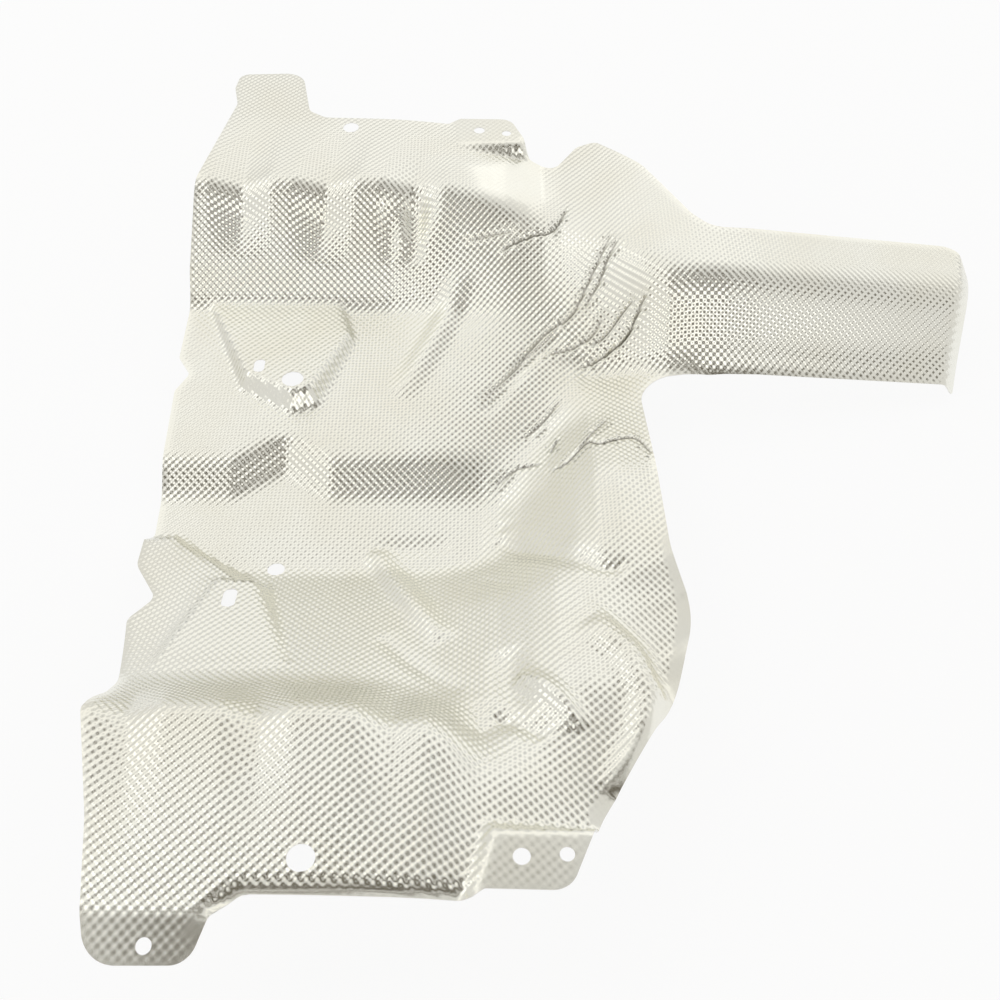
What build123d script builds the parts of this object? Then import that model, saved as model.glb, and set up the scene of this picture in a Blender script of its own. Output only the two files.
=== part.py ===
import math
import os

from build123d import *

# Exhaust heat shield: one pressed sheet of embossed aluminium, seen from its hollow side.
# x runs to the right along the trough, y to the far rim, z up. Sizes in mm.

# Sheet
SHEET_T = 1.5
STRIP_W = 13.0
ROW_L = 13.5
BEND = 8.0
SECTION_BLEND = 13.0

# Heights over the trough floor
APRON_Z = 90.0
RIM_Z = 89.0
FLOOR_Z = 2.0
SHELF_Z = 16.0
PLATEAU_Z = 54.0
DOME_Z = 88.0
ARM_DROP = 30.0
WALL_PAD_Z = 30.0
APRON_PAD_Z = 26.0
TAB_Z = 86.0

# Lines along the trough, as y
APRON_RIDGE_Y = -228.0
APRON_FOOT_Y = -193.0
FLOOR_START_Y = -84.0
STEP_Y = -24.0
STEP_RUN = 27.0
WALL_FOOT_Y = 147.0
RIM_RIDGE_Y = 210.0

# Jog in the step across the floor
JOG_X = -196.0
JOG_W = 33.0
JOG_Y = 22.0
JOG_NEAR_Y = -64.0
JOG_FAR_Y = 48.0
JOG_BLEND = 33.0

# Press grooves: depth, half width
APRON_GROOVE_D = 8.0
APRON_GROOVE_W = 18.0
RIM_GROOVE_D = 12.0
RIM_GROOVE_W = 23.0

# Holes
STUD_D = 7.2
STUD_WIDE_D = 8.4
ACCESS_D = 13.4
FLOOR_D = 11.0
RIM_D = 12.0
WALL_PAD_D = 15.0

# Sections across the trough: x, then y and z of ten lines from the near edge to the far edge:
# edge, apron ridge, apron foot, knee, floor start, step foot, step top, wall foot, wall top, edge
FAR = 400.0
SECTIONS = [
    (-300, [(-FAR, APRON_Z), (APRON_RIDGE_Y, APRON_Z), (APRON_FOOT_Y, 50), (-116, 17),
            (FLOOR_START_Y, FLOOR_Z), (STEP_Y, FLOOR_Z), (STEP_Y + STEP_RUN, SHELF_Z),
            (WALL_FOOT_Y, 22), (RIM_RIDGE_Y, RIM_Z), (FAR, RIM_Z)]),
    (-130, [(-FAR, APRON_Z - 1), (APRON_RIDGE_Y - 2, APRON_Z - 1), (APRON_FOOT_Y, 50), (-116, 17),
            (FLOOR_START_Y, FLOOR_Z), (STEP_Y, FLOOR_Z), (STEP_Y + STEP_RUN, SHELF_Z),
            (WALL_FOOT_Y - 3, 22), (RIM_RIDGE_Y, RIM_Z), (FAR, RIM_Z)]),
    (-85, [(-FAR, APRON_Z - 2), (APRON_RIDGE_Y - 8, APRON_Z - 5), (-203, 50), (-120, 19),
           (FLOOR_START_Y, FLOOR_Z), (-26, FLOOR_Z), (4, SHELF_Z),
           (125, 28), (206, RIM_Z - 1), (FAR, RIM_Z - 1)]),
    (-50, [(-FAR, 84), (-258, 76), (-212, 60), (-128, 34),
           (-78, 6), (-30, 3), (8, 12),
           (90, 26), (196, 78), (FAR, 74)]),
    (-18, [(-FAR, 80), (-275, 72), (-205, 64), (-125, PLATEAU_Z - 2),
           (-85, 35), (-35, 22), (20, 13),
           (78, 24), (185, 66), (FAR, 68)]),
    (10, [(-FAR, 76), (-280, 68), (-205, 66), (-130, PLATEAU_Z),
          (-90, PLATEAU_Z), (-38, PLATEAU_Z - 3), (30, 31),
          (75, 22), (160, DOME_Z - 14), (FAR, DOME_Z - 2)]),
    (38, [(-FAR, 72), (-280, 64), (-205, PLATEAU_Z + 4), (-130, PLATEAU_Z - 2),
          (-90, PLATEAU_Z - 2), (-38, PLATEAU_Z - 4), (28, 34),
          (72, 28), (138, DOME_Z - 4), (FAR, DOME_Z + 2)]),
    (75, [(-FAR, 72), (-280, 64), (-205, PLATEAU_Z + 2), (-130, PLATEAU_Z - 4),
          (-90, PLATEAU_Z - 4), (-30, 46), (50, 36),
          (68, 40), (108, DOME_Z), (FAR, DOME_Z + 2)]),
    (105, [(-FAR, 72), (-280, 64), (-205, PLATEAU_Z + 2), (-130, PLATEAU_Z - 4),
           (-90, PLATEAU_Z - 4), (-30, 44), (54, 37),
           (70, 42), (105, DOME_Z + 1), (FAR, DOME_Z)]),
    (265, [(-FAR, 72), (-280, 64), (-205, PLATEAU_Z + 2), (-130, PLATEAU_Z - 4),
           (-90, PLATEAU_Z - 4), (-30, 24), (68, 41 - ARM_DROP),
           (86, 46 - ARM_DROP), (130, DOME_Z - ARM_DROP), (FAR, DOME_Z - ARM_DROP)]),
    (300, [(-FAR, 72), (-280, 64), (-205, PLATEAU_Z + 2), (-130, PLATEAU_Z - 4),
           (-90, PLATEAU_Z - 4), (-30, 20), (72, 35 - ARM_DROP),
           (90, 40 - ARM_DROP), (134, DOME_Z - 7 - ARM_DROP), (FAR, DOME_Z - 7 - ARM_DROP)]),
]

# Grooves pressed into apron and rim: start and end (x, y)
APRON_GROOVES = [((-243, -198), (-219, -328)), ((-176, -198), (-160, -328)),
                 ((-107, -200), (-99, -328)), ((-60, -208), (-58, -310))]
RIM_GROOVES = [((-243, 172), (-239, 292)), ((-186, 168), (-167, 286)), ((-120, 180), (-104, 270))]

# Raised pads: corners, height at the first corner, slope along y, side slope
PADS = [
    ([(-193, 51), (-182, 55), (-159, 112), (-172, 158), (-268, 158), (-226, 69)], WALL_PAD_Z, 0.0, 1.5),
    ([(-197, -108), (-222, -105), (-244, -182), (-167, -178)], APRON_PAD_Z, -0.25, 1.8),
    ([(-260, -60), (-205, -108), (-243, -184), (-310, -184), (-310, -66)], 8.0, -0.27, 1.0),
]

# Flats for the fixings: corners, height at the hole's y, slope along y, run of the step around them
FLATS = [
    ([(-250, -338), (-176, -338), (-176, -380), (-250, -380)], TAB_Z, -349, 0.3, 8.0),
    ([(-52, -296), (-2, -296), (-2, -340), (-64, -340)], TAB_Z, -308, 0.0, 9.0),
    ([(-82, 262), (-38, 262), (-32, 300), (-86, 300)], TAB_Z, 279, 0.0, 11.0),
]

# Joggle along the apron's near edge: corners of the lower strip, drop, run
JOGGLE = [(-156, -322), (-70, -322), (-70, -345), (-172, -345)]
JOGGLE_D = 4.0
JOGGLE_RUN = 5.0

# Edges bent down: line with the lip on its right, slope of the lip, x from which it starts
LIPS = [
    ((264, 70), (284, 160), 1.4, 240.0),
    ((60, 70), (290, 88), 1.2, 78.0),
]
LIP_BEND = 4.0
LIP_BLEND = 16.0

# Step down from the bulge to the flange at the right edge: points, drop, run
FLANGE_STEP = [(10, -164), (22, -184), (31, -208), (31, -228), (18, -252), (4, -272)]
FLANGE_DROP = 9.0
FLANGE_RUN = 14.0

# Folds drawn into the sheet: points along the fold, height, half width
FOLDS = [
    ([(-79, 156), (-93, 117), (-120, 57)], 4.0, 15.0),
    ([(28, 155), (9, 123), (-11, 109), (-36, 85), (-64, 43)], -3.5, 13.0),
    ([(-48, 163), (-8, 175)], -3.0, 12.0),
    ([(48, 105), (43, 92), (26, 85), (10, 79)], -4.0, 12.0),
    ([(-8, -19), (8, -12), (36, -5)], -4.0, 12.0),
    ([(-130, -67), (-82, -156)], 5.0, 14.0),
    ([(-130, -65), (-82, -63)], -1.5, 12.0),
    ([(-50, -61), (-14, -101), (20, -121)], -3.0, 13.0),
    ([(0, -159), (20, -179), (29, -211), (24, -239), (8, -269)], 8.0, 17.0),
    ([(-47, -172), (-40, -225)], -4.0, 14.0),
    ([(-135, 201), (-130, 169)], -4.0, 12.0),
    ([(-109, 212), (-115, 165)], -5.0, 12.0),
]

# Outline corners (x, y) and corner radius, clockwise from the far left tab
OUTLINE = [
    ((-260, 354), 8), ((-210, 356), 17), ((-199, 301), 9), ((-186, 292), 10), ((-90, 288), 4),
    ((-81, 295), 4), ((-42, 294), 12), ((-27, 256), 10), ((-9, 246), 8), ((9, 267), 8),
    ((23, 268), 9), ((56, 231), 50), ((87, 171), 30), ((101, 156), 18), ((283, 176), 14),
    ((296, 156), 16), ((286, 122), 20), ((276, 80), 5), ((80, 62), 10), ((45, 58), 22),
    ((48, -20), 100), ((51, -102), 40), ((61, -146), 25), ((47, -206), 50), ((0, -282), 40),
    ((-18, -324), 12), ((-57, -323), 3), ((-63, -327), 3), ((-166, -326), 9), ((-179, -337), 8),
    ((-186, -357), 12), ((-231, -357), 17), ((-236, -336), 8), ((-244, -290), 60),
    ((-259, -232), 6), ((-255, -212), 6), ((-257, -196), 6), ((-269, -138), 10), ((-257, -119), 9),
    ((-276, -88), 18), ((-278, -61), 4), ((-274, -54), 3), ((-278, 62), 8), ((-270, 78), 5),
    ((-280, 94), 7), ((-280, 165), 30), ((-274, 213), 40), ((-257, 311), 12), ((-262, 334), 8),
]

# Holes: centre, diameter
ROUND_HOLES = [
    ((-206, -349), STUD_D), ((-141, -310), ACCESS_D), ((-40, -308), STUD_WIDE_D),
    ((-19, -307), STUD_D), ((-192, -82), FLOOR_D), ((-194, 63), WALL_PAD_D),
    ((-165, 279), RIM_D), ((-66, 279), STUD_WIDE_D), ((-45, 275), STUD_D),
]
# Slots: centre, width, length
SLOTS = [((-211, -123), 8.2, 15.5), ((-219, 77), 7.6, 13.0)]


def mix(a, b, k):
    return a + (b - a) * k


def ramp(k):
    return min(max(k, 0.0), 1.0)


def section_at(x):
    """Ten (y, z) points of the section at x."""
    for (xa, la), (xb, lb) in zip(SECTIONS, SECTIONS[1:]):
        if x <= xb:
            k = ramp((x - xa) / (xb - xa))
            return [(mix(ya, yb, k), mix(za, zb, k)) for (ya, za), (yb, zb) in zip(la, lb)]
    return SECTIONS[-1][1]


def area_under(line, y):
    """Area under a section line from its start to y."""
    total = 0.0
    for (ya, za), (yb, zb) in zip(line, line[1:]):
        if y <= ya:
            break
        end = min(y, yb)
        total += (end - ya) * (za + mix(za, zb, (end - ya) / (yb - ya))) / 2
    return total


def base_height(x, y):
    """Section height with its bends rounded along y and x."""
    total = 0.0
    reach = ramp((y - JOG_NEAR_Y) / JOG_BLEND) * ramp((JOG_FAR_Y - y) / JOG_BLEND)
    y -= JOG_Y * ramp(1.0 - abs(x - JOG_X) / JOG_W) * reach
    for shift in (-SECTION_BLEND, 0.0, SECTION_BLEND):
        line = section_at(x + shift)
        share = 0.5 if shift == 0.0 else 0.25
        total += share * (area_under(line, y + BEND) - area_under(line, y - BEND)) / (2 * BEND)
    return total


def along(points, x, y):
    """Distance from a chain of points, and how far along it from 0 to 1."""
    best = 1e9
    where = 0.0
    count = len(points) - 1
    for i in range(count):
        (xa, ya), (xb, yb) = points[i], points[i + 1]
        dx, dy = xb - xa, yb - ya
        k = ramp(((x - xa) * dx + (y - ya) * dy) / (dx * dx + dy * dy))
        gap = math.hypot(x - xa - k * dx, y - ya - k * dy)
        if gap < best:
            best = gap
            where = (i + k) / count
    return best, where


def groove(ends, x, y, depth, width):
    """V groove that fades out to both ends."""
    gap, where = along(ends, x, y)
    fade = min(1.0, where / 0.22) * min(1.0, (1.0 - where) / 0.55)
    return -depth * max(0.0, 1.0 - gap / width) * fade


def fold(points, x, y, height, width):
    """Rounded ridge or crease that fades out to both ends."""
    gap, where = along(points, x, y)
    if gap >= width:
        return 0.0
    fade = math.sin(math.pi * ramp(where)) ** 0.5
    return height * fade * (0.5 + 0.5 * math.cos(math.pi * gap / width))


def lip(start, end, slope, from_x, x, y):
    """Drop of an edge bent down past a line."""
    (xa, ya), (xb, yb) = start, end
    past = ((x - xa) * (yb - ya) - (y - ya) * (xb - xa)) / math.hypot(xb - xa, yb - ya)
    if past <= 0.0:
        return 0.0
    bent = past * past / (2 * LIP_BEND) if past < LIP_BEND else past - LIP_BEND / 2
    return -slope * bent * ramp((x - from_x) / LIP_BLEND)


def flange(x, y):
    """Drop on the right of the bulge's edge."""
    gap, where = along(FLANGE_STEP, x, y)
    count = len(FLANGE_STEP) - 1
    i = min(int(where * count), count - 1)
    (xa, ya), (xb, yb) = FLANGE_STEP[i], FLANGE_STEP[i + 1]
    if (x - xa) * (yb - ya) - (y - ya) * (xb - xa) > 0:
        return 0.0
    k = min(gap / FLANGE_RUN, 1.0)
    fade = min(1.0, where / 0.3) * min(1.0, (1.0 - where) / 0.3)
    return -FLANGE_DROP * k * k * (3 - 2 * k) * fade


def outside(corners, x, y):
    """Distance outside a convex shape."""
    out = 0.0
    cx = sum(c[0] for c in corners) / len(corners)
    cy = sum(c[1] for c in corners) / len(corners)
    for (xa, ya), (xb, yb) in zip(corners, corners[1:] + corners[:1]):
        nx, ny = yb - ya, xa - xb
        size = math.hypot(nx, ny)
        turn = 1.0 if (cx - xa) * nx + (cy - ya) * ny < 0 else -1.0
        out = max(out, turn * ((x - xa) * nx + (y - ya) * ny) / size)
    return out


def softer_max(a, b, width):
    """Larger of two heights, rounded where they meet."""
    k = max(0.0, 1.0 - abs(a - b) / width)
    return max(a, b) + width * k * k / 4


def flat_share(corners, run, x, y):
    """1 on a pressed flat, falling to 0 over the step around it."""
    k = max(0.0, 1.0 - outside(corners, x, y) / run)
    return k * k * (3 - 2 * k)


def height(x, y):
    """Height of the sheet's upper side."""
    z = base_height(x, y)
    for ends in APRON_GROOVES:
        z += groove(ends, x, y, APRON_GROOVE_D, APRON_GROOVE_W)
    for ends in RIM_GROOVES:
        z += groove(ends, x, y, RIM_GROOVE_D, RIM_GROOVE_W)
    for corners, top, lean, side in PADS:
        plane = top + lean * (y - corners[0][1])
        z = softer_max(z, plane - side * outside(corners, x, y), 5.0)
    for points, rise, width in FOLDS:
        z += fold(points, x, y, rise, width)
    for start, end, slope, from_x in LIPS:
        z += lip(start, end, slope, from_x, x, y)
    z += flange(x, y)
    z -= JOGGLE_D * flat_share(JOGGLE, JOGGLE_RUN, x, y)
    for corners, level, at_y, lean, run in FLATS:
        z = mix(z, level + lean * (y - at_y), flat_share(corners, run, x, y))
    return z


def pressed_height(x, y):
    """Height as the press draws it: the mean over a small patch."""
    dx, dy = STRIP_W / 3, ROW_L / 3
    spots = [(x - dx, y - dy), (x + dx, y - dy), (x - dx, y + dy), (x + dx, y + dy)]
    return sum(height(*spot) for spot in spots) / len(spots)


def stations(low, high, step):
    """Even places from past the low to past the high end of the outline."""
    count = math.ceil((high - low + 2 * BEND) / step)
    return [mix(low - BEND, high + BEND, i / count) for i in range(count + 1)]


def make_sheet():
    """Pressed sheet before trimming: strips ruled between section curves."""
    xs = stations(min(c[0] for c, _ in OUTLINE), max(c[0] for c, _ in OUTLINE), STRIP_W)
    ys = stations(min(c[1] for c, _ in OUTLINE), max(c[1] for c, _ in OUTLINE), ROW_L)
    shares = [(y - ys[0]) / (ys[-1] - ys[0]) for y in ys]
    curves = []
    for x in xs:
        spots = [Vector(x, y, pressed_height(x, y)) for y in ys]
        curves.append(Edge.make_spline(spots, parameters=shares))
    strips = [Face.make_surface_from_curves(a, b) for a, b in zip(curves, curves[1:])]
    drop = Pos(0, 0, -SHEET_T)
    faces = strips + [drop * strip for strip in strips]
    for curve in (curves[0], curves[-1]):
        faces.append(Face.make_surface_from_curves(curve, drop * curve))
    down = Vector(0, 0, -SHEET_T)
    for a, b in zip(curves, curves[1:]):
        for end in (0, 1):
            faces.append(Face(Wire.make_polygon([a @ end, b @ end, b @ end + down, a @ end + down])))
    return Solid(Shell(faces))


def make_outline():
    """Trim shape with its holes."""
    blank = make_face(Polyline(*[corner for corner, _ in OUTLINE], close=True)).face()
    for corner, radius in OUTLINE:
        vertex = blank.vertices().sort_by_distance((corner[0], corner[1], 0))[0]
        blank = blank.fillet_2d(radius, [vertex])
    sketch = Sketch() + blank
    for (x, y), size in ROUND_HOLES:
        sketch -= Pos(x, y) * Circle(size / 2)
    for (x, y), wide, tall in SLOTS:
        sketch -= Pos(x, y) * RectangleRounded(wide, tall, wide * 0.4)
    return sketch


def make_shield():
    trim = Pos(0, 0, -40) * extrude(make_outline(), amount=240)
    return make_sheet() & trim


os.makedirs("parts", exist_ok=True)
shield = make_shield()
box = shield.bounding_box()
shield = Pos(-box.center().X, -box.center().Y, -box.min.Z) * shield
export_step(shield, "parts/heat_shield.step")
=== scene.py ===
import math

import bpy
import numpy as np
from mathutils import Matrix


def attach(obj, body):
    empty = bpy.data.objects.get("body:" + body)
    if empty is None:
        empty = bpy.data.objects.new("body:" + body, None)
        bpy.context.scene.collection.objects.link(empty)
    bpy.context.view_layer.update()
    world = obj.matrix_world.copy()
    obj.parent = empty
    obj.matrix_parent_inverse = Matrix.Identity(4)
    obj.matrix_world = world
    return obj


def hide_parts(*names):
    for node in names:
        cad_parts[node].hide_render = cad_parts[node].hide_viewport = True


# Exhaust heat shield: one pressed sheet of embossed aluminium, lying with its hollow side up.
# The press form is given in mm from the trough floor, as in the part's source, and built in metres.

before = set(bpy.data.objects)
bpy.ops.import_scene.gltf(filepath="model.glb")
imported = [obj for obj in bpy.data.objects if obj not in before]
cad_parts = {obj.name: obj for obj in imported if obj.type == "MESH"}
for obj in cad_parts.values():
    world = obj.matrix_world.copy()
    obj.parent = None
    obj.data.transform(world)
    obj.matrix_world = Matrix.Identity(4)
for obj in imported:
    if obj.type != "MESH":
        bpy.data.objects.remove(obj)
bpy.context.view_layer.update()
bpy.ops.object.select_all(action="DESELECT")

MM = 0.001

# Sheet and embossing
SHEET_T = 1.5
METAL_T = 0.6
EMBOSS_RISE = 0.24
EMBOSS_X = 5.0
EMBOSS_Y = 5.2
HALF_X = EMBOSS_X / 2
HALF_Y = EMBOSS_Y / 2
EDGE_SLOT = 1

# Rounding of the sections along y and between stations, wider on the arm, and at the foot of a pad
BEND = 8.0
SECTION_BLEND = 13.0
ARM_BEND = 14.0
ARM_BLEND = 22.0
ARM_X = 50.0
ARM_RUN = 40.0
BLEND_SHARES = ((-1, 0.25), (0, 0.5), (1, 0.25))
PAD_BLEND = 3.0

# Mesh of the blank: steps, margins and limits
ARC_STEP = 1.2
PROFILE_STEP = 1.0
SLOPE_STEP = 0.5
ROW_ZERO_Y = -50.0
TRIM_MARGIN = 10.0
CUTTER_REACH = 10.0
OFF_PLANE = 0.01
MERGE_GAP = 0.12

# Height of the press form's zero over the ground
FLOOR_LIFT = 4.02

# Heights over the trough floor
APRON_Z = 90.0
RIM_Z = 89.0
FLOOR_Z = 2.0
SHELF_Z = 16.0
PLATEAU_Z = 54.0
DOME_Z = 88.0
ARM_DROP = 30.0
WALL_PAD_Z = 30.0
APRON_PAD_Z = 26.0
TAB_Z = 86.0

# Lines along the trough, as y
APRON_RIDGE_Y = -228.0
APRON_FOOT_Y = -193.0
FLOOR_START_Y = -84.0
STEP_Y = -22.0
STEP_RUN = 22.0
WALL_FOOT_Y = 147.0
RIM_RIDGE_Y = 210.0

# Jog in the step across the floor
JOG_X = -196.0
JOG_W = 33.0
JOG_Y = 22.0
JOG_NEAR_Y = -64.0
JOG_FAR_Y = 48.0
JOG_BLEND = 33.0

# Press grooves: depth, half width, how quickly they run out past the ridge
APRON_GROOVE_D = 7.0
APRON_GROOVE_W = 17.0
APRON_GROOVE_FALL = 2.6
RIM_GROOVE_D = 11.0
RIM_GROOVE_W = 23.0
RIM_GROOVE_FALL = 1.3
GROOVE_PEAK = 0.22

# Holes
STUD_D = 7.2
STUD_WIDE_D = 8.4
ACCESS_D = 13.4
FLOOR_D = 11.0
RIM_D = 12.0
WALL_PAD_D = 15.0

# Sections across the trough: x, then y and z of ten lines from the near edge to the far edge
FAR = 400.0
SECTIONS = [
    (-300, [(-FAR, APRON_Z), (APRON_RIDGE_Y, APRON_Z), (APRON_FOOT_Y, 50), (-116, 17),
            (FLOOR_START_Y, FLOOR_Z), (STEP_Y, FLOOR_Z), (STEP_Y + STEP_RUN, SHELF_Z),
            (WALL_FOOT_Y, 22), (RIM_RIDGE_Y, RIM_Z), (FAR, RIM_Z)]),
    (-130, [(-FAR, APRON_Z - 1), (APRON_RIDGE_Y - 2, APRON_Z - 1), (APRON_FOOT_Y, 50), (-116, 17),
            (FLOOR_START_Y, FLOOR_Z), (STEP_Y, FLOOR_Z), (STEP_Y + STEP_RUN, SHELF_Z),
            (WALL_FOOT_Y - 3, 22), (RIM_RIDGE_Y, RIM_Z), (FAR, RIM_Z)]),
    (-85, [(-FAR, APRON_Z - 2), (APRON_RIDGE_Y - 8, APRON_Z - 5), (-203, 50), (-120, 19),
           (FLOOR_START_Y, FLOOR_Z), (-26, FLOOR_Z), (4, SHELF_Z),
           (134, 30), (208, RIM_Z - 3), (FAR, RIM_Z - 4)]),
    (-50, [(-FAR, 84), (-258, 76), (-212, 60), (-128, 34),
           (-78, 6), (-30, 3), (8, 12),
           (124, 37), (200, 80), (FAR, 80)]),
    (-32, [(-FAR, 82), (-267, 73), (-208, 64), (-126, 44),
           (-82, 22), (-33, 14), (15, 13),
           (111, 35), (194, 76), (FAR, 79)]),
    (-18, [(-FAR, 80), (-275, 70), (-205, 68), (-125, PLATEAU_Z - 2),
           (-85, 35), (-35, 22), (20, 13),
           (100, 33), (187, 69), (FAR, 72)]),
    (10, [(-FAR, 76), (-280, 65), (-205, 69), (-130, PLATEAU_Z),
          (-90, PLATEAU_Z), (-38, PLATEAU_Z - 3), (30, 31),
          (75, 22), (160, DOME_Z - 14), (FAR, DOME_Z - 2)]),
    (38, [(-FAR, 72), (-280, 64), (-205, PLATEAU_Z + 4), (-130, PLATEAU_Z - 2),
          (-90, PLATEAU_Z - 2), (-38, PLATEAU_Z - 4), (28, 34),
          (72, 28), (138, DOME_Z - 4), (FAR, DOME_Z + 2)]),
    (66, [(-FAR, 72), (-280, 64), (-205, PLATEAU_Z + 2), (-130, PLATEAU_Z - 4),
          (-90, PLATEAU_Z - 4), (-30, 46), (50, 36),
          (68, 40), (108, DOME_Z), (FAR, DOME_Z + 2)]),
    (105, [(-FAR, 72), (-280, 64), (-205, PLATEAU_Z + 2), (-130, PLATEAU_Z - 4),
           (-90, PLATEAU_Z - 4), (-30, 44), (54, 37),
           (70, 42), (105, DOME_Z + 1), (FAR, DOME_Z)]),
    (265, [(-FAR, 72), (-280, 64), (-205, PLATEAU_Z + 2), (-130, PLATEAU_Z - 4),
           (-90, PLATEAU_Z - 4), (-30, 24), (68, 41 - ARM_DROP),
           (86, 46 - ARM_DROP), (130, DOME_Z - ARM_DROP), (FAR, DOME_Z - ARM_DROP)]),
    (300, [(-FAR, 72), (-280, 64), (-205, PLATEAU_Z + 2), (-130, PLATEAU_Z - 4),
           (-90, PLATEAU_Z - 4), (-30, 20), (72, 35 - ARM_DROP),
           (90, 40 - ARM_DROP), (134, DOME_Z - 7 - ARM_DROP), (FAR, DOME_Z - 7 - ARM_DROP)]),
]

# Grooves pressed into apron and rim: start and end (x, y)
APRON_GROOVES = [((-243, -198), (-219, -328)), ((-176, -198), (-160, -328)),
                 ((-107, -200), (-99, -328)), ((-60, -208), (-58, -310))]
RIM_GROOVES = [((-243, 172), (-239, 292)), ((-186, 168), (-167, 286)), ((-120, 180), (-104, 270))]

# Raised pads: corners, height at the first corner, slope along y, side slope
PADS = [
    ([(-193, 51), (-182, 55), (-159, 112), (-172, 158), (-268, 158), (-226, 69)],
     WALL_PAD_Z, -0.05, 1.5),
    ([(-197, -108), (-222, -105), (-244, -182), (-167, -178)], APRON_PAD_Z, -0.25, 1.8),
    ([(-260, -60), (-205, -108), (-243, -184), (-310, -184), (-310, -66)], 8.0, -0.27, 1.0),
]

# Flats for the fixings: corners, height at the hole, y of the hole, slope along y, run of the step
FLATS = [
    ([(-250, -338), (-176, -338), (-176, -380), (-250, -380)], TAB_Z, -349, 0.25, 8.0),
    ([(-52, -296), (-2, -296), (-2, -340), (-64, -340)], TAB_Z, -308, 0.0, 9.0),
    ([(-82, 262), (-34, 262), (-28, 300), (-86, 300)], TAB_Z, 279, 0.0, 7.0),
]

# Joggle along the apron's near edge: corners of the lower strip, drop, run
JOGGLE = [(-167, -322.5), (-66, -322.5), (-66, -345), (-190, -345), (-184, -336)]
JOGGLE_D = 2.6
JOGGLE_RUN = 3.0

# Edges bent down: line with the lip on its right, slope of the lip, x from which it starts
LIPS = [
    ((264, 70), (284, 160), 1.4, 240.0),
    ((60, 70), (290, 88), 0.3, 78.0),
]
LIP_BEND = 4.0
LIP_BLEND = 16.0

# Step down from the bulge to the flange at the right edge: points, drop, run, share of it that fades
FLANGE_STEP = [(-4, -140), (10, -164), (24, -184), (31, -207), (25, -228), (12, -250), (-3, -272)]
FLANGE_DROP = 9.0
FLANGE_RUN = 10.0
FLANGE_FADE = 0.42

# Folds drawn into the sheet: points along the fold, height, half width
FOLDS = [
    ([(-79, 156), (-93, 117), (-120, 57)], 4.0, 15.0),
    ([(-130, -67), (-82, -156)], 5.0, 14.0),
    ([(-130, -65), (-82, -63)], -1.5, 12.0),
    ([(-50, -61), (-14, -101), (20, -121)], -3.0, 13.0),
    ([(0, -159), (20, -179), (29, -211), (24, -239), (8, -269)], 8.0, 17.0),
    ([(-47, -172), (-40, -225)], -4.0, 14.0),
    ([(-135, 201), (-130, 169)], -4.0, 12.0),
    ([(-109, 212), (-115, 165)], -5.0, 12.0),
    ([(-4, 106), (-32, 81), (-62, 38)], -2.0, 8.0),
]
FOLD_FADE = 0.5

# Creases and sharp ridges between the folds: points along each, height, half width
CREASES = [
    ([(-49, 165), (-37, 171), (-23, 176), (-10, 178), (-1, 197)], -2.4, 2.4),
    ([(-73, 174), (-40, 178)], -1.0, 2.4),
    ([(29, 156), (22, 144), (13, 131), (1, 114), (-19, 103), (-40, 76), (-62, 50)], -1.5, 2.4),
    ([(33, 149), (26, 139), (21, 129), (10, 116)], -1.6, 2.2),
    ([(51, 107), (44, 97), (38, 90), (24, 84), (8, 78)], -2.8, 2.6),
    ([(43, 107), (36, 104), (26, 96), (14, 91)], -1.5, 2.2),
    ([(23, 106), (14, 97), (1, 92), (-16, 88)], -1.4, 2.2),
    ([(-11, 45), (-23, 30), (-33, 21)], -1.4, 2.2),
    ([(21, 18), (11, 6), (2, -6)], -1.4, 2.2),
    ([(-11, 14), (-16, 3)], -1.6, 2.2),
    ([(47, -22), (37, -4), (16, -8), (7, -3), (-6, -15), (-16, -15)], -2.4, 2.6),
    ([(-23, -5), (-39, -5), (-53, -17)], -1.4, 2.4),
    ([(-52, -62), (-40, -74), (-20, -95), (-12, -98)], -1.8, 6.0),
    ([(-1, -104), (6, -115), (19, -118), (23, -112)], -2.2, 5.5),
    ([(-55, -52), (-40, -51)], -1.2, 6.0),
    ([(-61, -98), (-42, -116)], -1.2, 7.0),
    ([(-118, -152), (-103, -171), (-72, -200)], -2.6, 9.0),
    ([(-130, -67), (-111, -109), (-84, -153)], 2.2, 8.0),
    ([(-41, -194), (-31, -201), (-23, -209), (-15, -220), (-11, -232)], 6.0, 11.0),
    ([(-54, -222), (-40, -227), (-26, -236)], -5.0, 11.0),
    ([(-256, -63), (-209, -87)], -1.8, 6.0),
    ([(-202, -95), (-168, -177)], -2.2, 5.5),
    ([(-229, -100), (-243, -177)], 1.2, 7.0),
]
CREASE_CUTS = 4
CREASE_FADE = 0.4
CREASE_SHARP = 1.5

# Fine creases: largest half width, reach of each refining of the mesh, half width of the painted shade
# in them, and the crease depth at which the painted shade is full
FINE_W = 3.0
FINE_REACH = (4.5, 2.2)
CREASE_SHADE_W = 1.5
CREASE_SHADE_DEPTH = 2.4

# Band along the trimmed edge with fainter embossing: width, share lost at the edge
EDGE_COIN = 6.0
EDGE_LOST = 0.8

# Patches where the press tool flattened the embossing: corners, run around them, share lost
COINED = [
    ([(-238, -338), (-184, -338), (-188, -380), (-234, -380)], 10.0, 0.84),
    (JOGGLE, 2.5, 0.88),
    (FLATS[1][0], 4.0, 0.85),
    (FLATS[2][0], 2.0, 0.85),
    ([(-66, 232), (-24, 250), (-17, 218), (-33, 198), (-58, 206)], 14.0, 0.88),
]
# Smooth strip along the right edge: points, half width, run beside it, share lost
SMOOTH_STRIP = [(52, -98), (57, -125), (59, -148), (50, -186), (43, -211), (22, -246), (0, -280)]
STRIP_HALF = 6.0
STRIP_RUN = 2.5
STRIP_LOST = 0.9

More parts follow.
